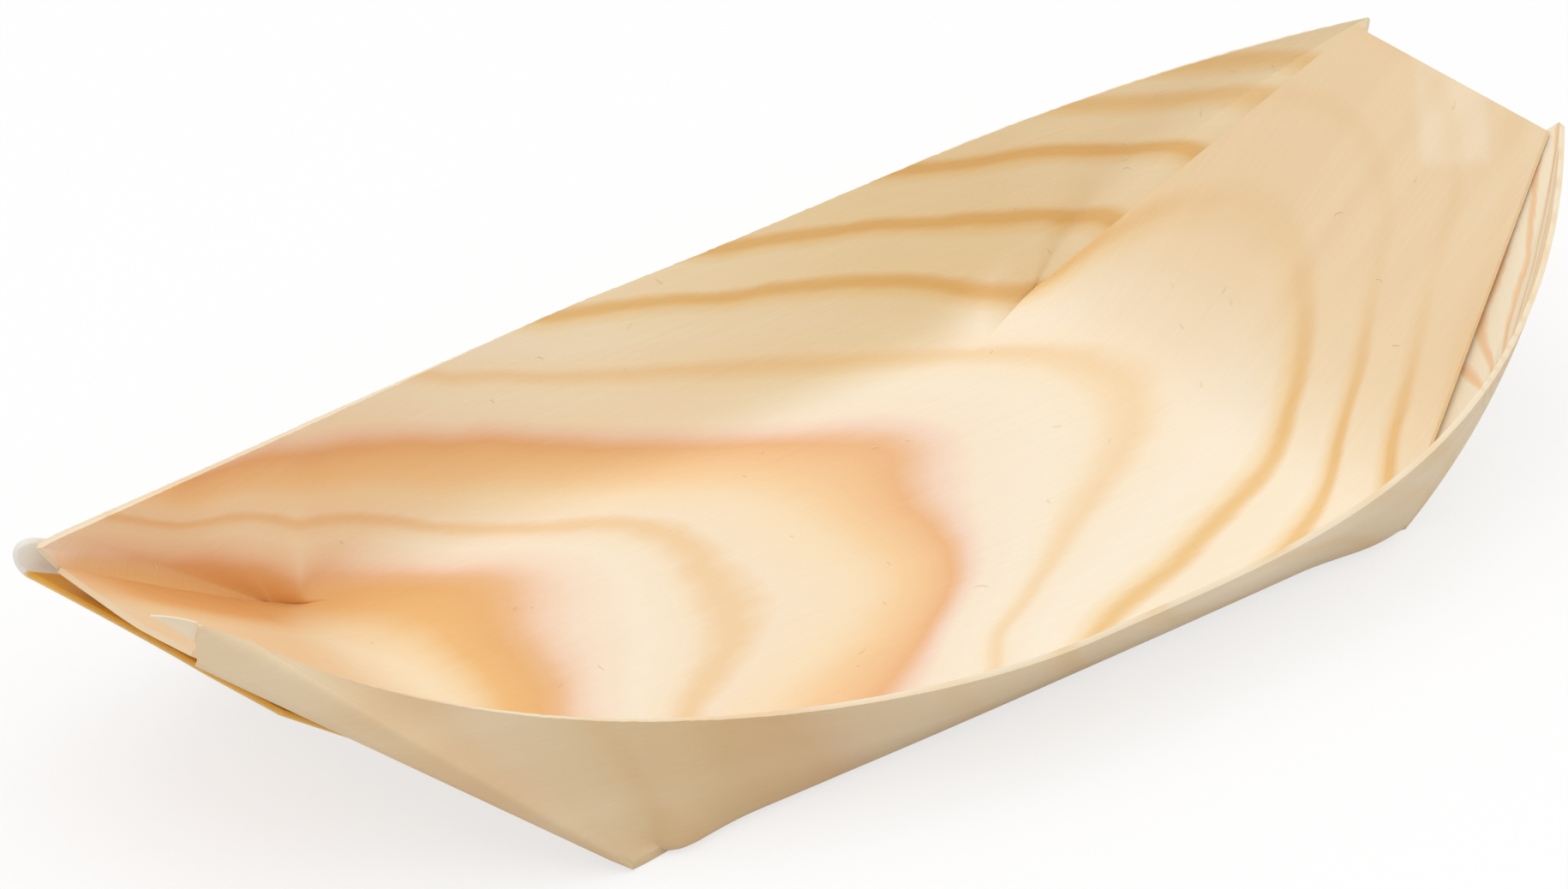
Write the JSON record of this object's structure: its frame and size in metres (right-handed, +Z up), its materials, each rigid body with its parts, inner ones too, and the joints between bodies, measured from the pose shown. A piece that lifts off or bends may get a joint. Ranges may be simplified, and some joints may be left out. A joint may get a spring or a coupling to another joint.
{
  "type": "food boat tray",
  "caption": "Disposable boat-shaped serving tray folded from thin pine veneer, with flat floor, flared side walls and raised end panels closed by glued veneer strips.",
  "frame": {"origin": "middle of the footprint on the surface the tray stands on", "axes": "+X along the tray towards its taller end, +Y towards the back wall, +Z up"},
  "size_m": [0.1732, 0.0836, 0.0314],
  "materials": {
    "floor_wood": "unfinished cream veneer with orange growth rings",
    "wall_wood": "unfinished khaki veneer with golden growth rings",
    "panel_wood": "unfinished peach veneer with pale growth rings",
    "tab_wood": "unfinished beige veneer",
    "strip_wood": "unfinished amber veneer",
    "glue": "dried clear amber glue"
  },
  "bodies": {
    "root": {"floor_panel": "floor_wood", "back_wall": "wall_wood", "front_wall": "wall_wood", "left_end_panel": "panel_wood", "right_end_panel": "panel_wood", "back_left_tab": "tab_wood", "front_left_tab": "tab_wood", "back_right_tab": "tab_wood", "front_right_tab": "tab_wood", "left_end_strip": "strip_wood", "right_end_strip": "strip_wood", "back_left_glue": "glue", "front_left_glue": "glue", "back_right_glue": "glue", "front_right_glue": "glue"}
  },
  "joints": []
}
